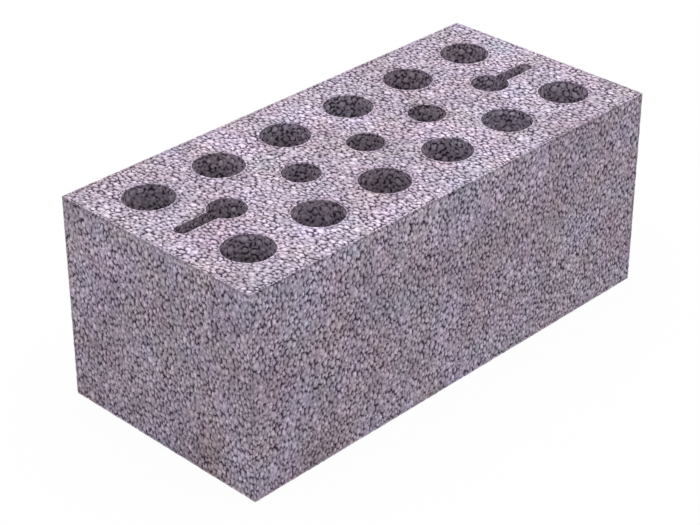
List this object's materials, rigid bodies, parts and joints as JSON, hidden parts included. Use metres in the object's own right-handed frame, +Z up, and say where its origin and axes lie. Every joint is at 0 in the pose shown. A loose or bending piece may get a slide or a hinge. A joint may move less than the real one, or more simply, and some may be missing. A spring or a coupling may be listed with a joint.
{
  "type": "expanded clay block",
  "caption": "Cuboid masonry block of expanded clay concrete with rows of round through voids and a keyhole void at each end of the middle row, for light insulating walls.",
  "frame": {"origin": "centre of the underside, at floor level", "axes": "+X along the length, +Y across the width towards the far side face, +Z up through the voids"},
  "size_m": [0.5, 0.23, 0.2],
  "materials": {
    "clay_concrete": "open-grained, dry matt surface of bonded clay pellets"
  },
  "bodies": {
    "root": {"block": "clay_concrete"}
  },
  "joints": []
}
